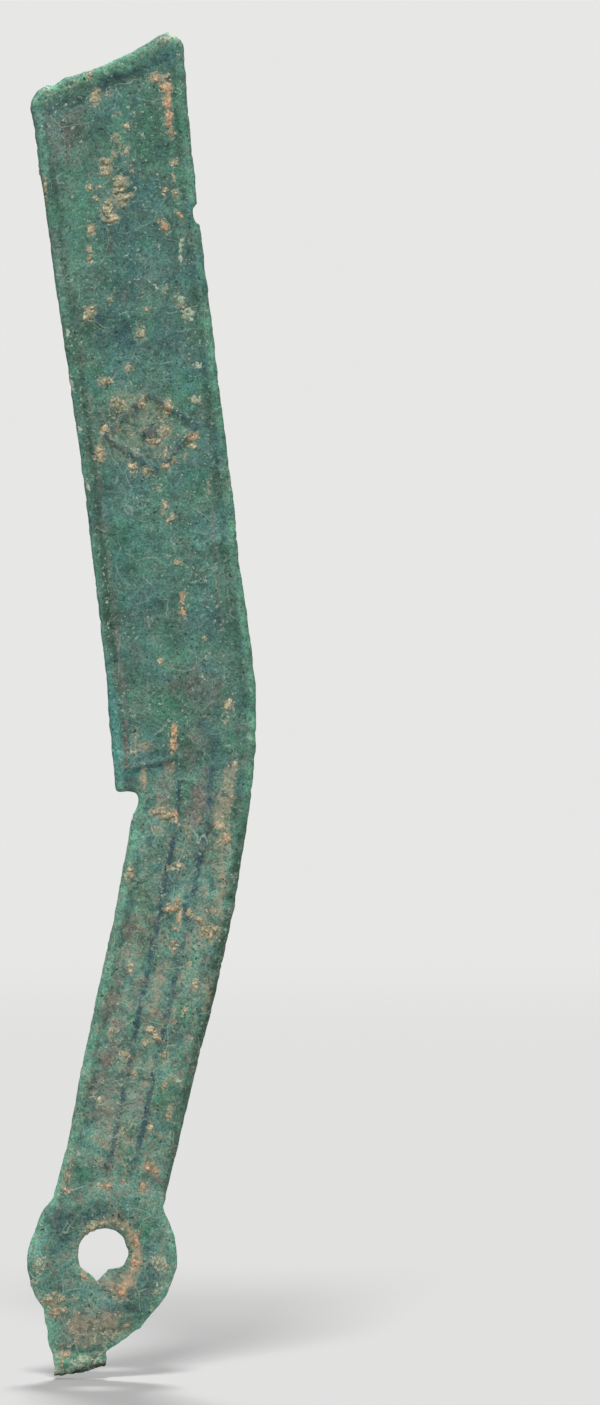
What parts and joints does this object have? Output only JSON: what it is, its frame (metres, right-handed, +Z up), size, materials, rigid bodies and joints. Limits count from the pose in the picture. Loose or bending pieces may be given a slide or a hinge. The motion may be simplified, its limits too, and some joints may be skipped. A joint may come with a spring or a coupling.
{
  "type": "knife money",
  "caption": "Flat cast bronze coin in the shape of a knife, with a slanted tip, a stepped heel, a ribbed handle and a ring for stringing it on a cord.",
  "frame": {"origin": "centre of the ring's hole, on the mould's parting plane half way through the thickness", "axes": "+Z up the knife from the ring towards the tip, +X towards the knife's back, +Y towards the reverse; the obverse faces -Y"},
  "size_m": [0.0236, 0.0016, 0.1403],
  "materials": {
    "bronze_patina": "bronze under a matt teal green patina",
    "bronze_relief": "bronze under a darker slate green patina",
    "burial_earth": "dry matt earth"
  },
  "bodies": {
    "root": {"blade": "bronze_patina", "handle": "bronze_patina", "ring": "bronze_patina", "gate_neck": "bronze_patina", "gate_stub": "bronze_patina", "obverse_ribs": "bronze_relief", "reverse_ribs": "bronze_relief", "obverse_mark": "bronze_relief", "reverse_mark": "bronze_relief", "blade_obverse_earth": "burial_earth", "blade_reverse_earth": "burial_earth", "handle_obverse_earth": "burial_earth", "handle_reverse_earth": "burial_earth"}
  },
  "joints": []
}
